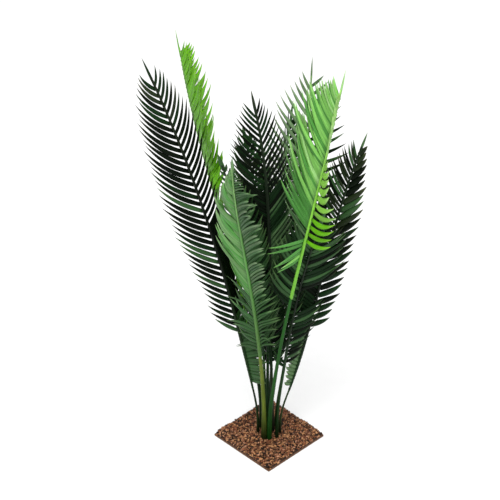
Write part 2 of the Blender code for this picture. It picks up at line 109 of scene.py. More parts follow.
# Angles in degrees, lengths in metres.  foot: ring and bearing; heading: bearing of the lean at the
# foot and its turn towards the tip; lean: at foot and tip; sway: more lean half way up; bare: share of
# the length below the blade; radius: of the stem at its foot; face: bearing the blade looks to at its
# start, and its turn; size, wide and spacing: length and width of its leaflets as shares of the
# largest, and the distance between them.
FRONDS = (
    dict(name="01", foot=(OUTER_RING, 225), heading=(213, -16), lean=(11, 28), sway=0, length=0.478,
         bare=0.135, radius=0.0014, face=(348, 0), size=1.00, wide=0.84, spacing=0.0080, slot="dark",
         left=half((-4, -4), (-14, -5), (1.0, 1.07), (0.1, 1.0), first=0.20),
         right=half((-28, -28), (12, 12), (1.10, 0.62, 0.66, 0.86), (0.5, 1.0), heel=(110, 26, 0.2, 2))),
    dict(name="02", foot=(OUTER_RING, 180), heading=(217, -73), lean=(4, 52), sway=4.5, length=0.485,
         bare=0.24, radius=0.0022, face=(58, 0), size=0.96, wide=1.20, spacing=0.0100, slot="lime",
         left=half((0, 16), (-27, 32), (1.00, 1.10), (0.0, 0.8, 1.0)),
         right=half((-6, 55), (-10, 6, 16, 20, 22), (0.45, 0.50, 0.80, 1.05, 1.30), (0.0, 0.8, 1.0))),
    dict(name="03", foot=(OUTER_RING, 289), heading=(262, 55), lean=(0, 33), sway=6.6, length=0.466,
         bare=0.265, radius=0.0027, face=(275, 0), size=0.90, wide=1.45, spacing=0.0100, slot="medium",
         left=half((-26, 50), (4, -4, -20, -28, -34), (1.25, 1.25, 0.95, 0.75), (-1.0, 1.0, 1.0, 1.0, 1.0),
                   heel=(50, 14, 0.2, 2)),
         right=half((2, -6), (-18, -20, -22, 2), (1.25, 0.88, 0.86, 0.90, 0.35),
                    (-1.8, -0.5, -0.4, -0.4, -0.4), heel=(0, 14, 0.2, 2))),
    dict(name="04", foot=(INNER_RING, 160), heading=(160, 31), lean=(3, 17), sway=-6.4, length=0.439,
         bare=0.26, radius=0.0020, face=(330, 0), size=0.84, wide=0.80, spacing=0.0070, slot="dark",
         left=half((-14, -14), (-6, -4), (1.0, 1.05), (0.4, 0.4)),
         right=half((-22, -12), (-8, -6), (0.9, 0.95), (0.4, 0.4))),
    dict(name="05", foot=(INNER_RING, 250), heading=(239, -1), lean=(0, 19), sway=2.4, length=0.386,
         bare=0.30, radius=0.0017, face=(315, 0), size=0.72, wide=1.10, spacing=0.0090, slot="dark",
         left=half((-16, -16), reach=(1.0, 0.45)), right=half((-16, -16), reach=(1.0, 0.6))),
    dict(name="06", foot=(OUTER_RING, 317), heading=(344, 31), lean=(7, 8), sway=5.8, length=0.527,
         bare=0.425, radius=0.0022, face=(270, -8), size=1.12, wide=1.15, spacing=0.0100, slot="lime",
         left=half((-18, 28), (90, 46, 18, -14, -10, -6, -2), (0.60, 0.62, 1.00, 1.25, 1.10, 0.95, 0.90),
                   (0.6, 0.6), first=0.20, heel=(80, 36, 0.12, 8)),
         right=half((-9, 71), (7, -3), (1.20, 1.05, 0.75), (0.6, 1.1), first=0.28)),
    dict(name="07", foot=(OUTER_RING, 90), heading=(88, 7), lean=(14, 1), sway=-4.6, length=0.466,
         bare=0.26, radius=0.0022, face=(290, 0), size=1.02, wide=1.00, spacing=0.0106, slot="medium",
         left=half((40, 36, 10), (-24, -14, -8), (1.35, 1.25, 0.85), (0.5, 0.3)),
         right=half((14, 13), (-2, 8), (0.81, 1.03), (0.3, 0.3))),
    dict(name="08", foot=(OUTER_RING, 45), heading=(35, 18), lean=(22, 20), sway=-11.2, length=0.409,
         bare=0.16, radius=0.0014, face=(305, 0), size=0.82, wide=1.30, spacing=0.0100, slot="dark",
         left=half((36, -10), (-2, -4), (0.9, 1.0), (0.4, 0.4), heel=(20, 15, 0.2, 2)),
         right=half((8, 2), (-6, -12), (0.78, 0.74), (0.4, 0.4), first=0.27)),
    dict(name="09", foot=(OUTER_RING, 135), heading=(118, 6), lean=(8, 30), sway=0, length=0.390,
         bare=0.26, radius=0.0018, face=(262, 0), size=0.90, wide=1.10, spacing=0.0106, slot="medium",
         left=half((-20, -20)), right=half((-20, -20))),
    dict(name="10", foot=(INNER_RING, 70), heading=(155, 15), lean=(4, 25), sway=0, length=0.378,
         bare=0.23, radius=0.0020, face=(305, 0), size=0.75, wide=1.20, spacing=0.0095, slot="dark",
         left=half((-8, -8)), right=half((-8, -8))),
    dict(name="11", foot=(INNER_RING, 340), heading=(60, 0), lean=(6, 22), sway=0, length=0.340,
         bare=0.28, radius=0.0017, face=(225, 0), size=0.88, wide=1.30, spacing=0.0106, slot="dark",
         left=half((-16, -16)), right=half((-16, -16))),
    dict(name="12", foot=(OUTER_RING, 0), heading=(12, 12), lean=(6, 18), sway=0, length=0.330,
         bare=0.30, radius=0.0017, face=(325, 0), size=0.84, wide=1.30, spacing=0.0106, slot="dark",
         left=half((-16, -16)), right=half((-4, -4), (8, 8))),
)


def interpolate(law, x):
    """Value at x of a line through (x, value) pairs."""
    for (x0, y0), (x1, y1) in zip(law, law[1:]):
        if x <= x1:
            return y0 + (y1 - y0) * (x - x0) / (x1 - x0)
    return law[-1][1]


def between(values, x):
    """Value at x of a line through values that are spaced evenly from 0 to 1."""
    place = min(1.0, max(0.0, x)) * (len(values) - 1)
    i = min(int(place), len(values) - 2)
    return values[i] + (values[i + 1] - values[i]) * (place - i)


def smooth_step(x):
    x = min(1.0, max(0.0, x))
    return x * x * (3.0 - 2.0 * x)


def bearing(degrees):
    a = math.radians(degrees)
    return Vector((math.cos(a), math.sin(a), 0.0))


class Spine:
    """The centre line of one stem and rib: straight out of the socket, then leaning and turning."""

    def __init__(self, foot, heading, lean, sway, length):
        ring, foot_bearing = foot
        point = bearing(foot_bearing) * ring + Vector((0.0, 0.0, FEET_Z))
        self.length = length
        self.points = [point]
        step = length / SPINE_STEPS
        for i in range(SPINE_STEPS):
            u = (i + 0.5) / SPINE_STEPS
            s = u * length
            angle = math.radians(lean[0] + (lean[1] - lean[0]) * u * u + 4.0 * sway * u * (1.0 - u))
            angle *= smooth_step((s - FOOT_STRAIGHT) / BEND_IN)
            across = bearing(heading[0] + heading[1] * u)
            point = point + step * (across * math.sin(angle) + Vector((0, 0, math.cos(angle))))
            self.points.append(point)

    def at(self, s):
        """Point and unit tangent at the distance s along the line."""
        x = min(max(s / self.length, 0.0), 1.0) * SPINE_STEPS
        i = min(int(x), SPINE_STEPS - 1)
        a, b = self.points[i], self.points[i + 1]
        return a.lerp(b, x - i), (b - a).normalized()


def cross_frame(tangent, face):
    """Unit side and normal of a blade whose front looks to the horizontal direction face."""
    side = tangent.cross(face).normalized()
    return side, side.cross(tangent).normalized()


def stem_tree(blade):
    """Search tree of the part's stem, a closed tapering tube."""
    points, faces = [], []
    sides = STEM_SIDES
    for k in range(STEM_SEGMENTS + 1):
        t = k / STEM_SEGMENTS
        centre, tangent = blade.spine.at(blade.stem_end * t)
        side, normal = cross_frame(tangent, ROUND_FACE)
        radius = blade.radius + (blade.radius * STEM_TAPER - blade.radius) * t
        for j in range(sides):
            a = math.tau * j / sides
            points.append(centre + radius * (math.cos(a) * side + math.sin(a) * normal))
    for k in range(STEM_SEGMENTS):
        for j in range(sides):
            n = (j + 1) % sides
            faces.append((k * sides + j, (k + 1) * sides + j, (k + 1) * sides + n, k * sides + n))
    faces.append(tuple(range(sides)))
    faces.append(tuple(range(STEM_SEGMENTS * sides, len(points)))[::-1])
    return BVHTree.FromPolygons(points, faces)


def leaflet_line(t, root, along, across, flat, length, bend):
    """Point at the share t of a leaflet's centre line, which bows back and then up to the tip."""
    rise = bend * t * (t * (1.0 + BOW) - BOW)
    return root + length * (along * t + across * rise - flat * (TIP_DROOP * t * t))


def leaflet_axes(tangent, side, normal, hand, sweep, fold):
    """Unit directions along, across and out of a leaflet."""
    outward = hand * side * math.cos(fold) + normal * math.sin(fold)
    along = tangent * math.cos(sweep) + outward * math.sin(sweep)
    across = tangent * math.sin(sweep) - outward * math.cos(sweep)
    return along, across, outward.cross(tangent).normalized() * hand


def leaflet_points(pose, length, width, thickness, bend):
    """Four corners of the widest section of a leaflet, lower edge first, and its tip."""
    axes = leaflet_axes(*pose[1:])
    middle, tip = (leaflet_line(t, pose[0], *axes, length, bend) for t in (WIDEST_AT, 1.0))
    half, deep = axes[1] * (0.5 * width), axes[2] * (0.5 * thickness)
    return [middle - half + deep, middle + half + deep, middle + half - deep, middle - half - deep], tip


class Blade:
    """One frond: a three-sided rib with a leaflet drawn out of every second face on either side."""

    def __init__(self, spec):
        for key in ("name", "slot", "size", "wide", "face", "radius", "spacing"):
            setattr(self, key, spec[key])
        self.halves = {-1: spec["left"], 1: spec["right"]}
        length = spec["length"]
        self.spine = Spine(spec["foot"], spec["heading"], spec["lean"], spec["sway"], length)
        self.stem_end = spec["bare"] * length
        self.start = self.stem_end + CLEARANCE
        self.terminal = TERMINAL_SHARE * LEAFLET_LENGTH * self.size
        self.end = length - self.terminal
        self.stations = 2 * int((self.end - self.start) / self.spacing) + 1
        self.leaflets, self.grown = [], []

    def height(self, s):
        """Share of the blade that lies below the distance s along the spine."""
        return (s - self.start) / (self.end - self.start)

    def frame_at(self, s):
        centre, tangent = self.spine.at(s)
        side, normal = cross_frame(tangent, bearing(self.face[0] + self.face[1] * self.height(s)))
        return centre, tangent, side, normal

    def radius_at(self, s):
        root = self.radius * STEM_TAPER * RIB_SHARE
        return root + (RIB_TIP_RADIUS - root) * self.height(s)

    def rib_points(self):
        points = []
        for k in range(self.stations + 1):
            s = self.start + (self.end - self.start) * k / self.stations
            centre, tangent, side, normal = self.frame_at(s)
            r = self.radius_at(s)
            front = normal * (0.5 * r)
            points += [centre - side * r + front, centre + side * r + front, centre - normal * r]
        return points

    def rib_faces(self, skip):
        faces = [(0, 2, 1)]
        for k in range(self.stations):
            a = 3 * k
            faces.append((a, a + 1, a + 4, a + 3))
            if (k, -1) not in skip:
                faces.append((a, a + 3, a + 5, a + 2))
            if (k, 1) not in skip:
                faces.append((a + 1, a + 2, a + 5, a + 4))
        return faces

    def terminal_points(self):
        centre, tangent, side, normal = self.frame_at(self.end)
        middle = centre + tangent * (TERMINAL_WIDEST_AT * self.terminal)
        front, side = normal * (0.5 * LEAFLET_THICKNESS), side * (0.5 * LEAFLET_WIDTH * self.wide)
        tip = centre + tangent * self.terminal - normal * (TIP_DROOP * self.terminal)
        return [middle - side + front, middle + side + front, middle - front, tip]

    def root_loop(self, k, hand):
        """The rib corners that a leaflet is drawn from, lower front corner first."""
        a = 3 * k
        if hand < 0:
            return (a, a + 3, a + 5, a + 2)
        return (a + 1, a + 4, a + 5, a + 2)

    def grow(self, rng, taken):
        """Give every second rib face a leaflet, turned or shortened until it clears all in taken."""
        rib = self.rib_points()
        recent = {-1: [], 1: []}
        for k in range(1, self.stations):
            hand = -1 if k % 2 else 1
            s = self.start + (self.end - self.start) * (k + 0.5) / self.stations
            v = self.height(s)
            rule = self.halves[hand]
            if v < rule["first"]:
                continue
            tangent, side, normal = self.frame_at(s)[1:]
            loop = self.root_loop(k, hand)
            corners = [rib[i] for i in loop]
            root = sum(corners, Vector()) / 4.0
            share = interpolate(LENGTH_LAW, v)
            full = LEAFLET_LENGTH * self.size * share * between(rule["reach"], v)
            full *= rng.uniform(*LENGTH_SPREAD)
            width = LEAFLET_WIDTH * self.wide * between((NARROWEST, 1.0), share)
            heel_fold, heel_sweep, heel_span, power = rule["heel"]
            heel = max(0.0, 1.0 - ((v - rule["first"]) / heel_span) ** power)
            sweep = interpolate(SWEEP_LAW, v) + between(rule["sweep"], v) + heel_sweep * heel
            sweep += rng.uniform(-SWEEP_SPREAD, SWEEP_SPREAD)
            fold = between(rule["fold"], v) + heel_fold * heel
            fold += rng.uniform(-FOLD_SPREAD, FOLD_SPREAD)
            bend = TIP_UPTURN * between(rule["rise"], v) * rng.uniform(*UPTURN_SPREAD)
            for more_fold, more_sweep, shorter in DODGES:
                pose = (root, tangent, side, normal, hand, math.radians(sweep + more_sweep),
                        math.radians(fold + more_fold))
                wide = leaflet_points(pose, full * shorter + 2.0 * CLEARANCE, width + 3.0 * CLEARANCE,
                                      LEAFLET_THICKNESS + 3.0 * CLEARANCE, bend)
                tree = leaflet_tree(corners, *wide)
                if any(tree.overlap(other) for other in taken + recent[hand][-2:] + recent[-hand][-1:]):
                    continue
                section, tip = leaflet_points(pose, full * shorter, width, LEAFLET_THICKNESS, bend)
                self.leaflets.append((k, hand, section, tip))
                form = dict(length=full * shorter, width=width, bend=bend)
                self.grown.append(dict(hand=hand, v=v, pose=pose, **form))
                recent[hand].append(leaflet_tree(corners, section, tip, lift=0.25))
                break

    def geometry(self):
        points = self.rib_points()
        faces = self.rib_faces({(k, hand) for k, hand, _, _ in self.leaflets})
        for k, hand, section, tip in self.leaflets:
            loop = self.root_loop(k, hand)
            base = len(points)
            points.extend(section)
            points.append(tip)
            for i in range(4):
                n = (i + 1) % 4
                faces.append((loop[i], loop[n], base + n, base + i)[::-hand])
                faces.append((base + i, base + n, base + 4)[::-hand])
        base = len(points)
        last = 3 * self.stations
        points.extend(self.terminal_points())
        for i in range(3):
            n = (i + 1) % 3
            faces.append((last + i, last + n, base + n, base + i))
            faces.append((base + i, base + n, base + 3))
        return points, faces


def leaflet_tree(corners, section, tip, lift=0.0):
    """Search tree of a leaflet from its rib face (moved outward by the share lift) to its tip."""
    roots = [a.lerp(b, lift) for a, b in zip(corners, section)]
    points = roots + section + [tip]
    faces = []
    for i in range(4):
        n = (i + 1) % 4
        faces.append((i, n, 4 + n, 4 + i))
        faces.append((4 + i, 4 + n, 8))
    return BVHTree.FromPolygons(points, faces)


def regrow():
    """The fronds of the part, grown by the same rule and in the same random order."""
    rng = random.Random(GROWTH_SEED)
    blades = [Blade(spec) for spec in FRONDS]
    stems = {blade.name: stem_tree(blade) for blade in blades}
    ribs = {blade.name: BVHTree.FromPolygons(*blade.geometry()) for blade in blades}
    grown = []
    for blade in blades:
        others = [trees[name] for trees in (stems, ribs) for name in trees if name != blade.name]
        blade.grow(rng, others + grown)
        grown.append(BVHTree.FromPolygons(*blade.geometry()))
    return blades


# Looks of the leaflets: steps, the thin core and the half width at which it is full, depth of the fold
LEAF_STEPS = 9
LEAF_SHARES = [i / LEAF_STEPS for i in range(LEAF_STEPS + 1)]
LEAF_CORE = 0.00045
CORE_FULL_AT = 0.0008
KEEL = 0.34
# Outline: a strap, a little narrower at its root, that ends in a point
STRAP_SHARE, POINT_SHARE = 0.32, 0.68
ROOT_WIDTH, ROOT_GAIN, ROOT_SPAN = 0.84, 0.16, 0.25
TIP_WIDTH = 0.012
PLAIN_BLUNT = 1.8
# Unevenness of single leaflets
TWIST_SPREAD = 0.16
HOOK_SPREAD = (0.7, 1.3)
WAVE_HEIGHT, WAVE_TURN = 0.012, 5.0
MORE_SWEEP, MORE_FOLD, MORE_LENGTH = 4.0, 6.0, (0.84, 1.0)
# Blades whose leaflets are evened out, and the number of neighbours on either side
EVEN_BLADES, EVEN_REACH = ("01",), 2

# Looks of the ribs
RIB_SIDES = 10
RIB_FULLNESS = 1.35
RIB_FLATNESS = 0.86
RIB_GROOVE = 0.16
RIB_SWELL = {"01": 1.6, "04": 1.5, "08": 1.4}
SWELL_RAMP = 6.0
RIB_INTO_STEM = 0.0012
RIB_INTO_TIP = 0.3
RIB_THINNEST = 0.0004
KNUCKLES = (0.96, 1.08)

# Looks of the stems
STEM_RINGS = 44
STEM_ROUND = 14
STEM_FLARE, FLARE_RAMP = 0.3, 2.6
STEM_UNEVEN = (0.965, 1.035)
STEM_GROOVE, STEM_SPIRAL = 0.06, 1.5

# Chips: half lengths, shares of the length and the width, jitter of the corners, how they lie
CHIP_COUNT = 4400
CHIP_HALF_LENGTH = (0.0010, 0.0022)
CHIP_WIDTH = (0.42, 0.72)
CHIP_HEIGHT = (0.5, 0.95)
CHIP_JITTER = (0.72, 1.18)
CHIP_TILT, CHIP_ROLL = 0.30, 0.35
CHIP_LIFT = (-0.15, 0.75)
CHIP_MARGIN, CHIP_OVERHANG = 0.0004, 0.0002
DROP_HEIGHT = 0.05
FEET_AT = 0.006
TRIANGLE_REACH = 1.2

CHIP_SEED, LOOK_SEED = 5, 11

# Materials: values that noise mostly lies between; veins, as an angle across a leaflet
NOISE_RANGE = (0.3, 0.7)
VEIN_TURN = 88.0
LEAF_ROUGHNESS, ROD_ROUGHNESS = 0.42, 0.45

# Studio: the camera stands where the photograph's did
CAMERA_PLACE = (1.1917, -1.1917, 1.4141)
CAMERA_TURN = (55.512, 0.0, 45.733)
CAMERA_LENS, CAMERA_SENSOR, CAMERA_NEAREST = 138.607, 36.0, 0.01
LIGHTS = (("key", 82.0, (0.5, -1.3, 2.8), 2.6), ("fill", 20.0, (1.8, 0.2, 2.0), 1.6))
LIGHTS_AIM = (0.0, 0.0, 0.2)
SKY_COLOR, SKY_STRENGTH = (1.0, 1.0, 1.0, 1.0), 0.66
FLOOR_TINT, FLOOR_REACH = (0.93, 0.93, 0.93), 6.0

# Across a leaflet: place, height of the fold, side of the thin core
LEAF_SECTION = (
    (-1.0, 1.0, 0.0), (-0.5, 0.5, 1.0), (0.0, 0.0, 1.0), (0.5, 0.5, 1.0), (1.0, 1.0, 0.0),
    (0.5, 0.5, -1.0), (0.0, 0.0, -1.0), (-0.5, 0.5, -1.0),
)
# Tints of the leaflets and of their paler tips as sRGB, and their shine; the tip tints are partly the
# leaflets' own colour and partly painted light on their ends
LEAF_TONES = {
    "ink": ((8, 16, 7), (42, 50, 26), 0.05),
    "deep": ((12, 36, 12), (40, 64, 28), 0.08),
    "olive": ((26, 38, 16), (84, 88, 56), 0.14),
    "moss": ((42, 76, 36), (78, 104, 58), 0.20),
    "grey": ((70, 100, 60), (128, 150, 112), 0.22),
    "fern": ((42, 84, 36), (116, 152, 98), 0.22),
    "mist": ((100, 128, 88), (152, 168, 138), 0.22),
    "pale": ((92, 138, 74), (146, 182, 124), 0.25),
    "leaf": ((66, 128, 50), (120, 176, 90), 0.25),
    "lime": ((94, 164, 18), (140, 198, 54), 0.14),
    "bright": ((116, 178, 82), (168, 214, 136), 0.25),
    # A whitish tone dealt among frond 06's leaflets and given to its end leaflet: painted highlights
    "frost": ((140, 188, 112), (188, 220, 162), 0.25),
    "hot": ((126, 186, 66), (186, 226, 140), 0.28),
}
TONE_NAMES = list(LEAF_TONES)
# Tone and breadth of the leaflet that ends a frond
END_LOOKS = {
    "01": ("deep", 0.8), "02": ("lime", 1.0), "03": ("pale", 0.8), "04": ("olive", 0.9),
    "06": ("frost", 0.6), "07": ("mist", 0.5), "08": ("grey", 0.5),
}
PLAIN_END = ("moss", 1.0)
# Tints of a stem at its foot, half way and at its top; on the stems the dark foot tints are painted shade
# where they crowd together above the gravel
STEM_TINTS = {
    "01": ((10, 20, 4), (16, 38, 10), (14, 32, 10)),
    "02": ((6, 22, 3), (10, 38, 6), (18, 50, 12)),
    "03": ((16, 22, 3), (80, 94, 24), (92, 108, 40)),
    "06": ((8, 44, 4), (18, 66, 9), (24, 78, 16)),
    "07": ((8, 40, 5), (34, 68, 20), (42, 82, 28)),
    "08": ((12, 20, 8), (44, 58, 32), (38, 62, 32)),
    "10": ((14, 14, 8), (34, 36, 22), (28, 44, 18)),
}
PLAIN_STEM = ((6, 22, 3), (12, 42, 8), (18, 50, 12))
# The same for the ribs
RIB_TINTS = {
    "01": ((30, 52, 26), (12, 18, 10), (22, 30, 16)),
    "02": ((90, 146, 50), (104, 164, 58), (150, 206, 100)),
    "03": ((70, 104, 50), (80, 132, 62), (120, 160, 96)),
    "06": ((104, 168, 54), (120, 184, 60), (160, 214, 110)),
    "07": ((50, 86, 42), (66, 100, 54), (112, 146, 90)),
    "09": ((42, 74, 34), (50, 88, 42), (70, 110, 58)),
}
DARK_RIB = ((20, 44, 20), (14, 24, 12), (20, 34, 16))
# Two tints of the chips as sRGB, and their share of all chips
CHIP_TONES = {
    "tan": ((172, 126, 86), (136, 92, 58), 0.24),
    "red": ((128, 78, 50), (94, 54, 34), 0.28),
    "brown": ((84, 52, 26), (52, 30, 15), 0.22),
    "dark": ((38, 22, 11), (20, 11, 5), 0.18),
    "pink": ((172, 128, 100), (132, 88, 64), 0.12),
}
# Tints of the bed that shows between the chips, kept dark as painted shade in the crevices between them
BED_SHADE_TINTS = ((50, 30, 17), (24, 14, 8))
PLATE_TINTS = ((94, 64, 43), (140, 104, 76))


def look(tones="", side=0, over=-1.0, under=2.0, odds=None, curl=0.0, **form):
    """What leaflets on one side (0: both) and between two heights get: one of the tones (by odds if
    given), a hook of up to curl, and form.  There broad and short are shares of the width and length,
    twist turns them, blunt shapes the point, and more counts the leaflets added between."""
    return tones.split(), side, over, under, odds, curl, form


PLAIN_FORM = dict(broad=1.0, short=1.0, twist=1.0, hook=0.0, more=0, blunt=PLAIN_BLUNT)
BACK_LOOKS = (look("deep deep moss ink", more=1),)
# Rows for each frond; a later one overrules those before it
FROND_LOOKS = {
    "01": (
        look("ink", broad=1.44, twist=0.3, blunt=1.5),
        look("ink ink ink deep moss", side=-1, under=0.65),
        look(side=1, over=0.4, broad=1.5, blunt=2.2), look(side=1, over=0.7, short=1.22),
        look("olive deep ink", over=0.86), look("moss", side=1, under=0.24),
        look(side=1, under=0.55, more=1, broad=1.45, blunt=3.0),
        look(side=1, under=0.42, broad=2.1),
    ),
    "02": (
        look("leaf", more=1, broad=1.2), look("lime", over=0.12),
        look(side=-1, over=0.54, under=0.605, short=0.6),
    ),
    "03": (
        look("pale pale leaf", side=-1, more=1),
        look("fern fern grey", side=1, more=1, broad=0.4),
        look(side=1, under=0.85, blunt=6.0, broad=0.52),
        look("moss moss fern", under=0.26, curl=0.55, twist=3.0),
    ),
    "04": (
        look("ink deep", odds=0.65, broad=1.12), look(under=0.66, more=1),
        look("moss moss grey deep", side=1, under=0.6),
    ),
    "05": (look("deep moss moss"), look(under=0.6, more=1)),
    "06": (
        # The whitish leaflets among the bright ones are painted highlights on the band
        look("bright bright bright bright frost leaf", side=-1, more=2, broad=1.1),
        look("leaf", side=-1, under=0.45, broad=1.2),
        look("grey grey fern", side=-1, under=0.36, more=1, broad=0.85),
        look("lime leaf bright", side=-1, under=0.3, broad=1.3),
        look("hot", side=1, broad=1.2), look("lime hot", side=1, under=0.5),
        look(side=1, over=0.5, short=0.7, blunt=2.6, broad=1.5),
    ),
    "07": (
        look("fern"), look("mist", over=0.45),
        look("grey", side=1), look("deep moss olive", side=1, under=0.85),
    ),
    "08": (
        look("ink deep", odds=0.4, broad=1.3), look("ink olive moss", side=1, over=0.7),
        look("olive olive moss ink", side=-1, over=0.7),
        look(side=-1, under=0.96, more=1), look(side=-1, over=0.25, broad=0.66),
        look(side=-1, over=0.25, under=0.6, broad=0.95),
        look("grey", side=-1, under=0.25), look("moss", side=1, under=0.25),
    ),
    "09": (look("deep moss", odds=0.4, more=1),),
    "10": (*BACK_LOOKS, look("moss olive deep", over=0.5, broad=0.8)),
}


def srgb(r, g, b):
    """Linear colour of an sRGB colour with parts from 0 to 255."""
    parts = []
    for part in (r, g, b):
        c = part / 255.0
        parts.append(c / 12.92 if c <= 0.04045 else ((c + 0.055) / 1.055) ** 2.4)
    return (*parts, 1.0)


def add_object(name, data):
    """A new object in the scene."""
    obj = bpy.data.objects.new(name, data)
    bpy.context.scene.collection.objects.link(obj)
    return obj


class Net:
    """A material's node tree, built a node at a time."""

    def __init__(self, name):
        self.material = bpy.data.materials.new(name)
        self.material.use_nodes = True
        self.tree = self.material.node_tree
        self.shader = self.tree.nodes["Principled BSDF"]

    def node(self, kind, inputs=None, **settings):
        node = self.tree.nodes.new(kind)
        for key, value in settings.items():
            setattr(node, key, value)
        for key, value in (inputs or {}).items():
            self.feed(node.inputs[key], value)
        return node

    def feed(self, socket, value):
        if isinstance(value, bpy.types.NodeSocket):
            self.tree.links.new(value, socket)
        else:
            socket.default_value = value

    def math(self, operation, a, b=0.0, c=0.0):
        return self.node("ShaderNodeMath", {0: a, 1: b, 2: c}, operation=operation).outputs[0]

    def times(self, first, *others):
        for other in others:
            first = self.math("MULTIPLY", first, other)
        return first

    def span(self, value, low, high, out_low=0.0, out_high=1.0):
        """Value carried from low..high to out_low..out_high, smoothly and held at the ends."""
        inputs = {"Value": value, "From Min": low, "From Max": high, "To Min": out_low, "To Max": out_high}
        return self.node("ShaderNodeMapRange", inputs, interpolation_type="SMOOTHSTEP").outputs["Result"]

    def spread(self, noise, low, high):
        """A noise pattern carried to the values from low to high."""
        return self.span(noise, *NOISE_RANGE, low, high)

    def noise(self, vector, scale, detail=3.0, roughness=0.55):
        inputs = {"Vector": vector, "Scale": scale, "Detail": detail, "Roughness": roughness}
        return self.node("ShaderNodeTexNoise", inputs).outputs["Fac"]

    def mix(self, factor, a, b):
        node = self.node("ShaderNodeMix", {"Factor": factor, "A": a, "B": b}, data_type="RGBA")
        return node.outputs["Result"]

    def scaled(self, color, factor):
        """Colour times a number."""
        node = self.node("ShaderNodeVectorMath", {0: color, "Scale": factor}, operation="SCALE")
        return node.outputs["Vector"]

    def uv(self):
        """The shares along and across a leaflet, or along and round a rod."""
        layer = self.node("ShaderNodeUVMap", uv_map="form").outputs[0]
        parts = self.node("ShaderNodeSeparateXYZ", {0: layer})
        return parts.outputs[0], parts.outputs[1]

    def vector(self, x, y, z):
        return self.node("ShaderNodeCombineXYZ", {0: x, 1: y, 2: z}).outputs[0]

    def finish(self, color, roughness, height, strength, distance, shine=0.5):
        self.feed(self.shader.inputs["Base Color"], color)
        self.shader.inputs["Specular IOR Level"].default_value = shine
        self.feed(self.shader.inputs["Roughness"], roughness)
        bump = self.node("ShaderNodeBump", {"Height": height, "Strength": strength, "Distance": distance})
        self.tree.links.new(bump.outputs["Normal"], self.shader.inputs["Normal"])
        return self.material


def leaf_material(name, color, tip, shine):
    """Moulded leaflet: pale midrib, fine veins, streaks along it, painted shade darkening its root by the
    rib, and a paler tip that is partly its own tint and partly painted light.
    """
    net = Net(name)
    u, v = net.uv()
    shade = net.node("ShaderNodeAttribute", attribute_name="shade").outputs["Fac"]
    off = net.math("ABSOLUTE", net.math("SUBTRACT", v, 0.5))
    midrib = net.span(off, 0.015, 0.06, 1.0, 0.0)
    veins = net.math("SINE", net.times(v, VEIN_TURN))
    streak = net.noise(net.vector(net.times(u, 2.2), net.times(v, 7.0), net.times(shade, 60.0)), scale=1.6)
    mottle = net.noise(net.vector(net.times(u, 9.0), net.times(v, 3.0), net.times(shade, 91.0)), scale=1.3)
    # The tone also darkens the root of the leaflet: painted shade where it meets the rib
    tone = net.times(net.spread(streak, 0.80, 1.18), net.span(shade, 0.0, 1.0, 0.84, 1.17),
                     net.math("MULTIPLY_ADD", veins, 0.035, 1.0), net.span(midrib, 0.0, 1.0, 1.0, 1.16),
                     net.span(u, 0.0, 0.16, 0.72, 1.0))
    # Paler tip: partly the leaflet's own tip colour, partly painted light on its end
    tip_tint_and_light = net.times(net.span(u, 0.62, 1.0), net.spread(mottle, 0.35, 1.0))
    body = net.mix(tip_tint_and_light, srgb(*color), srgb(*tip))
    rough = net.spread(mottle, LEAF_ROUGHNESS - 0.07, LEAF_ROUGHNESS + 0.10)
    height = net.math("ADD", net.times(midrib, 0.8), net.times(veins, 0.12))
    height = net.math("ADD", height, net.times(streak, 0.5))
    return net.finish(net.scaled(body, tone), rough, height, strength=0.55, distance=0.00035, shine=shine)


def rod_material(name, foot, middle, top):
    """Moulded stem or rib: three tints along it, streaks and faint grooves down its length."""
    net = Net(name)
    u, v = net.uv()
    round_x = net.math("COSINE", net.times(v, math.tau))
    round_y = net.math("SINE", net.times(v, math.tau))
    streak = net.noise(net.vector(round_x, round_y, net.times(u, 1.4)), scale=3.2)
    spots = net.noise(net.vector(net.times(round_x, 0.6), round_y, net.times(u, 22.0)), scale=1.5)
    # On the stems the darker foot tint is painted shade where they crowd together above the gravel
    body = net.mix(net.span(u, 0.0, 0.45), srgb(*foot), srgb(*middle))
    body = net.mix(net.span(u, 0.45, 1.0), body, srgb(*top))
    tone = net.times(net.spread(streak, 0.68, 1.30), net.spread(spots, 0.88, 1.12))
    rough = net.spread(spots, ROD_ROUGHNESS - 0.08, ROD_ROUGHNESS + 0.10)
    height = net.math("ADD", net.times(streak, 0.9), net.times(spots, 0.3))
    return net.finish(net.scaled(body, tone), rough, height, strength=0.5, distance=0.0004, shine=0.12)


def chip_material(name, color, dark):
    """Stone chip: blotches of two tints, pale grain and a slightly glossy glue skin."""
    net = Net(name)
    place = net.node("ShaderNodeTexCoord").outputs["Object"]
    shade = net.node("ShaderNodeAttribute", attribute_name="shade").outputs["Fac"]
    blotch = net.noise(place, scale=520.0, detail=4.0)
    grain = net.noise(place, scale=2600.0, detail=2.0, roughness=0.7)
    body = net.mix(net.span(blotch, 0.36, 0.62), srgb(*color), srgb(*dark))
    tone = net.times(net.spread(grain, 0.82, 1.2), net.span(shade, 0.0, 1.0, 0.74, 1.26))
    rough = net.spread(grain, 0.42, 0.66)
    height = net.math("ADD", blotch, net.times(grain, 0.5))
    return net.finish(net.scaled(body, tone), rough, height, strength=0.6, distance=0.0003, shine=0.2)


def plate_material():
    """Dark moulded plastic with a fine matt grain and paler scuffs strewn over it."""
    net = Net("plate_plastic")
    place = net.node("ShaderNodeTexCoord").outputs["Object"]
    grain = net.noise(place, scale=1800.0)
    scuff = net.noise(place, scale=140.0, detail=5.0, roughness=0.7)
    worn = net.span(scuff, 0.56, 0.72)
    plain, pale = PLATE_TINTS
    body = net.mix(net.times(worn, 0.5), srgb(*plain), srgb(*pale))
    tone = net.spread(grain, 0.85, 1.15)
    rough = net.spread(scuff, 0.48, 0.72)
    return net.finish(net.scaled(body, tone), rough, grain, strength=0.35, distance=0.0002, shine=0.2)


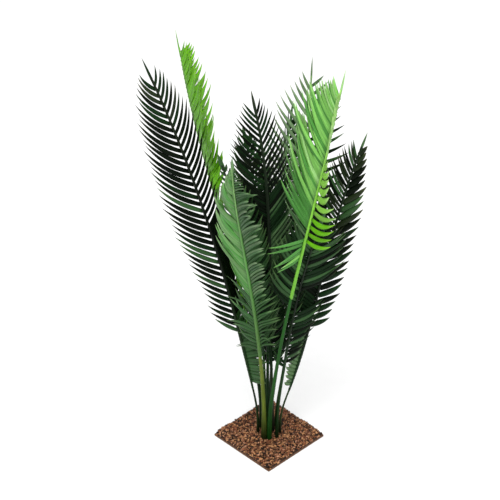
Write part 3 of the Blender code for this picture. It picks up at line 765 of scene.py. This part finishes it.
class Sheet:
    """Points, faces and their map, shade and material of a piece that is being drawn."""

    def __init__(self):
        self.points, self.shades = [], []
        self.faces, self.maps, self.slots = [], [], []

    def add_face(self, corners, maps, slot):
        self.faces.append(corners)
        self.maps.extend(maps)
        self.slots.append(slot)

    def add_grid(self, rings, slot, shade, wrap=0.0):
        """Closed surface through rings of (point, u, v); wrap is added to v where a ring closes."""
        base = len(self.points)
        count = len(rings[0])
        for ring in rings:
            self.points.extend(tuple(point) for point, _, _ in ring)
            self.shades.extend([shade] * count)
        for k in range(len(rings) - 1):
            low, high = rings[k], rings[k + 1]
            a = base + k * count
            for j in range(count):
                n = (j + 1) % count
                turn = wrap if n == 0 else 0.0
                next_low, next_high = ((ring[n][1], ring[n][2] + turn) for ring in (low, high))
                corners = (a + j, a + n, a + count + n, a + count + j)
                self.add_face(corners, (low[j][1:], next_low, next_high, high[j][1:]), slot)
        last = base + (len(rings) - 1) * count
        self.add_face(tuple(base + j for j in range(count))[::-1], [p[1:] for p in rings[0][::-1]], slot)
        self.add_face(tuple(last + j for j in range(count)), [p[1:] for p in rings[-1]], slot)

    def piece(self, name, materials, smooth=True):
        mesh = bpy.data.meshes.new(name)
        mesh.from_pydata(self.points, [], self.faces)
        layer = mesh.uv_layers.new(name="form")
        layer.data.foreach_set("uv", [part for place in self.maps for part in place])
        shade = mesh.attributes.new("shade", "FLOAT", "POINT")
        shade.data.foreach_set("value", self.shades)
        for material in materials:
            mesh.materials.append(material)
        mesh.polygons.foreach_set("material_index", self.slots)
        mesh.polygons.foreach_set("use_smooth", [smooth] * len(self.faces))
        mesh.update()
        obj = add_object(name, mesh)
        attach(obj, "root")
        return obj


def leaf_profile(t, blunt=PLAIN_BLUNT):
    """Share of a leaflet's half width at the share t of its length: a strap with a pointed tip."""
    spent = max(0.0, (t - STRAP_SHARE) / POINT_SHARE)
    root = ROOT_WIDTH + ROOT_GAIN * smooth_step(t / ROOT_SPAN)
    return root * max(0.0, 1.0 - spent ** blunt) + TIP_WIDTH


def leaf_ring(centre, wide, deep, half, t):
    """One ring round a leaflet, which is folded along its midrib round a thin core."""
    core = LEAF_CORE * (1.25 - t) * min(1.0, half / CORE_FULL_AT)
    ring = []
    for x, fold_share, face in LEAF_SECTION:
        point = centre + wide * (half * x) - deep * (half * KEEL * fold_share)
        ring.append((point + deep * (0.5 * core * face), t, 0.5 + 0.5 * x))
    return ring


def add_leaf(sheet, rings, turned, slot, rng):
    """A leaflet through its rings, which are turned where they run the wrong way round."""
    if turned:
        rings = [ring[::-1] for ring in rings]
    sheet.add_grid(rings, slot, rng.random())


def draw_leaflet(sheet, leaf, style, rng):
    """A leaflet on its rib, a little twisted and wavy, and hooked where its style says so."""
    root, *turns = leaf["pose"]
    along, across, flat = leaflet_axes(*turns)
    length = leaf["length"] * style["short"]
    half_width = 0.5 * leaf["width"] * style["broad"]
    twist = rng.gauss(0.0, TWIST_SPREAD) * style["twist"]
    hook = style["hook"] * rng.uniform(*HOOK_SPREAD)
    wave = rng.uniform(-1.0, 1.0) * WAVE_HEIGHT
    phase = rng.uniform(0.0, math.tau)
    lines = []
    for t in LEAF_SHARES:
        centre = leaflet_line(t, root, along, across, flat, length, leaf["bend"])
        ripple = length * wave * math.sin(phase + WAVE_TURN * t) * t
        centre += flat * (length * hook * t ** 3) + across * ripple
        lines.append(centre)
    rings = []
    for i, (t, centre) in enumerate(zip(LEAF_SHARES, lines)):
        ahead = lines[min(i + 1, LEAF_STEPS)] - lines[max(i - 1, 0)]
        ahead.normalize()
        wide = (across - ahead * across.dot(ahead)).normalized()
        deep = ahead.cross(wide)
        if deep.dot(flat) < 0.0:
            deep = -deep
        c, s = math.cos(twist * t), math.sin(twist * t)
        wide, deep = wide * c + deep * s, deep * c - wide * s
        rings.append(leaf_ring(centre, wide, deep, half_width * leaf_profile(t, style["blunt"]), t))
    add_leaf(sheet, rings, wide.cross(deep).dot(ahead) < 0.0, style["tone"], rng)


def draw_end_leaflet(sheet, blade, style, rng):
    """The leaflet that carries on from the tip of the rib."""
    centre, tangent, side, normal = blade.frame_at(blade.end)
    rings = []
    half_width = 0.5 * LEAFLET_WIDTH * blade.wide * style["broad"]
    for t in LEAF_SHARES:
        middle = centre + tangent * (blade.terminal * t) - normal * (TIP_DROOP * blade.terminal * t * t)
        rings.append(leaf_ring(middle, side, normal, half_width * leaf_profile(t), t))
    add_leaf(sheet, rings, side.cross(normal).dot(tangent) < 0.0, style["tone"], rng)


def draw_rib(sheet, blade, rng):
    """Round rib with a slight knuckle at every leaflet, reaching into the end of its stem."""
    rings = []
    count = 2 * blade.stations
    first = blade.stem_end - RIB_INTO_STEM
    for i in range(count + 1):
        t = i / count
        s = first + (blade.end + RIB_INTO_TIP * blade.terminal - first) * t
        centre, tangent, side, normal = blade.frame_at(s)
        radius = RIB_FULLNESS * max(RIB_THINNEST, blade.radius_at(min(s, blade.end))) * KNUCKLES[i % 2]
        radius *= 1.0 + (RIB_SWELL.get(blade.name, 1.0) - 1.0) * min(1.0, SWELL_RAMP * t)
        ring = []
        for j in range(RIB_SIDES):
            a = math.tau * j / RIB_SIDES
            groove = 1.0 - RIB_GROOVE * max(0.0, math.sin(a)) ** 6
            offset = (side * math.cos(a) + normal * (RIB_FLATNESS * math.sin(a))) * radius * groove
            ring.append((centre + offset, t, j / RIB_SIDES))
        rings.append(ring)
    sheet.add_grid(rings, 0, rng.random(), wrap=1.0)


def draw_stem(sheet, blade, rng):
    """Bare stem: thicker at its foot, with soft grooves and an uneven outline."""
    rings = []
    grooves = rng.choice((2, 3, 3, 4))
    start_turn = rng.uniform(0.0, math.tau)
    swell = [rng.uniform(*STEM_UNEVEN) for _ in range(STEM_RINGS + 1)]
    for i in range(STEM_RINGS + 1):
        t = i / STEM_RINGS
        centre, tangent = blade.spine.at(blade.stem_end * t)
        side, normal = cross_frame(tangent, ROUND_FACE)
        radius = blade.radius * (1.0 + (STEM_TAPER - 1.0) * t) * swell[i]
        radius *= 1.0 + STEM_FLARE * max(0.0, 1.0 - FLARE_RAMP * t)
        ring = []
        for j in range(STEM_ROUND):
            a = math.tau * j / STEM_ROUND
            relief = 1.0 + STEM_GROOVE * math.cos(grooves * a + start_turn + STEM_SPIRAL * t)
            offset = (side * math.cos(a) + normal * math.sin(a)) * (radius * relief)
            ring.append((centre + offset, t, j / STEM_ROUND))
        rings.append(ring)
    sheet.add_grid(rings, 0, rng.random(), wrap=1.0)


def style_of(name, v, hand, rng):
    """Tone and form of a leaflet, by its frond, height and side."""
    style = dict(PLAIN_FORM)
    for tones, side, over, under, odds, curl, form in FROND_LOOKS.get(name, BACK_LOOKS):
        if side == -hand or not over < v < under:
            continue
        if odds is not None:
            style["tone"] = tones[0] if rng.random() < odds else tones[1]
        elif len(tones) > 1:
            style["tone"] = rng.choice(tones)
        elif tones:
            style["tone"] = tones[0]
        style.update(form)
        if curl:
            style["hook"] = rng.uniform(-curl, curl)
    style["tone"] = TONE_NAMES.index(style["tone"])
    return style


def further_up(blade, leaf, share, rng):
    """A leaflet like this one, this share of a space further up the rib."""
    root, tangent, *place, sweep, fold = leaf["pose"]
    root = root + tangent * (share * blade.spacing)
    sweep += math.radians(rng.uniform(-MORE_SWEEP, MORE_SWEEP))
    fold += math.radians(rng.uniform(-MORE_FOLD, MORE_FOLD))
    length = leaf["length"] * rng.uniform(*MORE_LENGTH)
    return dict(leaf, pose=(root, tangent, *place, sweep, fold), length=length)


def evened(blade):
    """The leaflets of a blade, each turned to the mean of itself and its neighbours on its side."""
    rows = {-1: [], 1: []}
    for leaf in blade.grown:
        rows[leaf["hand"]].append(leaf)
    leaves = []
    for leaf in blade.grown:
        row = rows[leaf["hand"]]
        i = row.index(leaf)
        near = row[max(0, i - EVEN_REACH):i + EVEN_REACH + 1]
        if len(near) > 2 * EVEN_REACH:
            sweep, fold = (sum(other["pose"][part] for other in near) / len(near) for part in (-2, -1))
            bend = sum(other["bend"] for other in near) / len(near)
            leaf = dict(leaf, pose=(*leaf["pose"][:-2], sweep, fold), bend=bend)
        leaves.append(leaf)
    return leaves


def dress_fronds(blades):
    """Leaflets, rib and stem of every frond, in place of the part's own."""
    rng = random.Random(LOOK_SEED)
    tones = [leaf_material("leaf_" + name, *LEAF_TONES[name]) for name in TONE_NAMES]
    for blade in blades:
        sheet = Sheet()
        for leaf in evened(blade) if blade.name in EVEN_BLADES else blade.grown:
            kind = (blade.name, leaf["v"], leaf["hand"])
            style = style_of(*kind, rng)
            draw_leaflet(sheet, leaf, style, rng)
            for i in range(style["more"]):
                share = (i + 1) / (style["more"] + 1)
                draw_leaflet(sheet, further_up(blade, leaf, share, rng), style_of(*kind, rng), rng)
        style = style_of(blade.name, 1.0, -1, rng)
        tone, broad = END_LOOKS.get(blade.name, PLAIN_END)
        style.update(tone=TONE_NAMES.index(tone), broad=broad)
        draw_end_leaflet(sheet, blade, style, rng)
        used = sorted(set(sheet.slots))
        sheet.slots = [used.index(slot) for slot in sheet.slots]
        leaves = sheet.piece("leaflets_" + blade.name, [tones[i] for i in used])
        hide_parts("frond_" + blade.name)
        sheet = Sheet()
        draw_rib(sheet, blade, rng)
        tint = rod_material("rib_" + blade.name, *RIB_TINTS.get(blade.name, DARK_RIB))
        rib = sheet.piece("rib_" + blade.name, [tint])
        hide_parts("frond_" + blade.name)
        sheet = Sheet()
        draw_stem(sheet, blade, rng)
        tint = rod_material("stem_" + blade.name, *STEM_TINTS.get(blade.name, PLAIN_STEM))
        stem = sheet.piece("stem_skin_" + blade.name, [tint])
        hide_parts("stem_" + blade.name)


def icosahedron():
    """Corners and outward faces of a round solid with 20 triangles."""
    golden = (1.0 + math.sqrt(5.0)) / 2.0
    points = []
    for a in (-1.0, 1.0):
        for b in (-golden, golden):
            points += [Vector(p).normalized() for p in ((a, b, 0.0), (0.0, a, b), (b, 0.0, a))]
    faces = []
    for i, j, k in combinations(range(len(points)), 3):
        a, b, c = points[i], points[j], points[k]
        if max((a - b).length, (b - c).length, (c - a).length) < TRIANGLE_REACH:
            outward = (b - a).cross(c - a).dot(a + b + c) > 0.0
            faces.append((i, j, k) if outward else (i, k, j))
    return points, faces


def ground_height(grounds, x, y):
    """Height of the highest ground at a place, or None beside them all."""
    hits = (ground.ray_cast(Vector((x, y, DROP_HEIGHT)), Vector((0, 0, -1)))[0] for ground in grounds)
    return max((hit.z for hit in hits if hit is not None), default=None)


def rotated(a, b, angle):
    """Two coordinates turned by an angle."""
    c, s = math.cos(angle), math.sin(angle)
    return a * c - b * s, a * s + b * c


def lay_gravel(blades):
    """Angular chips strewn over the bed and the socket, each half sunk in what it lies on."""
    rng = random.Random(CHIP_SEED)
    base_points, base_faces = icosahedron()
    grounds = []
    for name in ("gravel_bed", "stem_socket", "base_plate"):
        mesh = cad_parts[name].data
        faces = [tuple(p.vertices) for p in mesh.polygons]
        grounds.append(BVHTree.FromPolygons([v.co for v in mesh.vertices], faces))
    feet = [(blade.spine.at(FEET_AT)[0], blade.radius) for blade in blades]
    sheets = {name: Sheet() for name in CHIP_TONES}
    names, weights = list(CHIP_TONES), [row[2] for row in CHIP_TONES.values()]
    reach = 0.5 * FOOT_SIDE - CHIP_MARGIN
    bound = 0.5 * FOOT_SIDE + CHIP_OVERHANG
    for _ in range(CHIP_COUNT):
        long_half = rng.uniform(*CHIP_HALF_LENGTH)
        wide_half = long_half * rng.uniform(*CHIP_WIDTH)
        high_half = wide_half * rng.uniform(*CHIP_HEIGHT)
        x = rng.uniform(-reach, reach)
        y = rng.uniform(-reach, reach)
        turn = rng.uniform(0.0, math.tau)
        tilt = rng.gauss(0.0, CHIP_TILT)
        roll = rng.gauss(0.0, CHIP_ROLL)
        tone = rng.choices(names, weights)[0]
        jitter = [rng.uniform(*CHIP_JITTER) for _ in base_points]
        shade = rng.random()
        if any(math.hypot(x - foot.x, y - foot.y) < radius + CHIP_MARGIN for foot, radius in feet):
            continue
        top = ground_height(grounds, x, y)
        if top is None:
            continue
        lift = top + high_half * rng.uniform(*CHIP_LIFT)
        sheet = sheets[tone]
        first = len(sheet.points)
        places = []
        for point, scale in zip(base_points, jitter):
            px, py, pz = point.x * long_half * scale, point.y * wide_half * scale, point.z * high_half * scale
            py, pz = rotated(py, pz, roll)
            px, pz = rotated(px, pz, tilt)
            px, py = rotated(px, py, turn)
            px, py = (min(max(place, -bound), bound) for place in (x + px, y + py))
            sheet.points.append((px, py, lift + pz))
            sheet.shades.append(shade)
            places.append((px / FOOT_SIDE + 0.5, py / FOOT_SIDE + 0.5))
        for face in base_faces:
            sheet.add_face(tuple(first + i for i in face), [places[i] for i in face], 0)
    for name, sheet in sheets.items():
        stone = chip_material("gravel_" + name, *CHIP_TONES[name][:2])
        chips = sheet.piece("gravel_" + name, [stone], smooth=False)


def dress_foot():
    """Materials of the bed, the plate and the socket; the bed's dark tints are painted shade in the gaps
    between the chips.
    """
    bed, plastic = chip_material("gravel_bed", *BED_SHADE_TINTS), plate_material()
    for name, material in (("gravel_bed", bed), ("base_plate", plastic), ("stem_socket", plastic)):
        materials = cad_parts[name].data.materials
        materials.clear()
        materials.append(material)


def build_studio():
    """Pale floor, white surroundings, soft lights and the camera."""
    scene = bpy.context.scene
    mesh = bpy.data.meshes.new("floor")
    low, high = -FLOOR_REACH, FLOOR_REACH
    mesh.from_pydata([(low, low, 0), (high, low, 0), (high, high, 0), (low, high, 0)], [], [(0, 1, 2, 3)])
    floor = add_object("floor", mesh)
    net = Net("floor")
    grain = net.noise(net.node("ShaderNodeTexCoord").outputs["Object"], scale=60.0)
    pale = net.scaled(FLOOR_TINT, net.spread(grain, 0.995, 1.005))
    mesh.materials.append(net.finish(pale, 0.8, grain, strength=0.02, distance=0.0005))
    scene.world = bpy.data.worlds.new("studio")
    scene.world.use_nodes = True
    sky = scene.world.node_tree.nodes["Background"]
    sky.inputs["Color"].default_value = SKY_COLOR
    sky.inputs["Strength"].default_value = SKY_STRENGTH
    for name, energy, place, size in LIGHTS:
        light = bpy.data.lights.new(name, "AREA")
        light.energy, light.size = energy, size
        obj = add_object(name, light)
        obj.location = place
        obj.rotation_euler = (Vector(LIGHTS_AIM) - Vector(place)).to_track_quat("-Z", "Y").to_euler()
    scene.view_settings.view_transform = "Standard"
    camera = bpy.data.cameras.new("camera")
    camera.lens = CAMERA_LENS
    camera.sensor_width = CAMERA_SENSOR
    camera.clip_start = CAMERA_NEAREST
    scene.camera = add_object("camera", camera)
    scene.camera.location = CAMERA_PLACE
    scene.camera.rotation_euler = [math.radians(angle) for angle in CAMERA_TURN]


palm = regrow()
dress_fronds(palm)
dress_foot()
lay_gravel(palm)
build_studio()
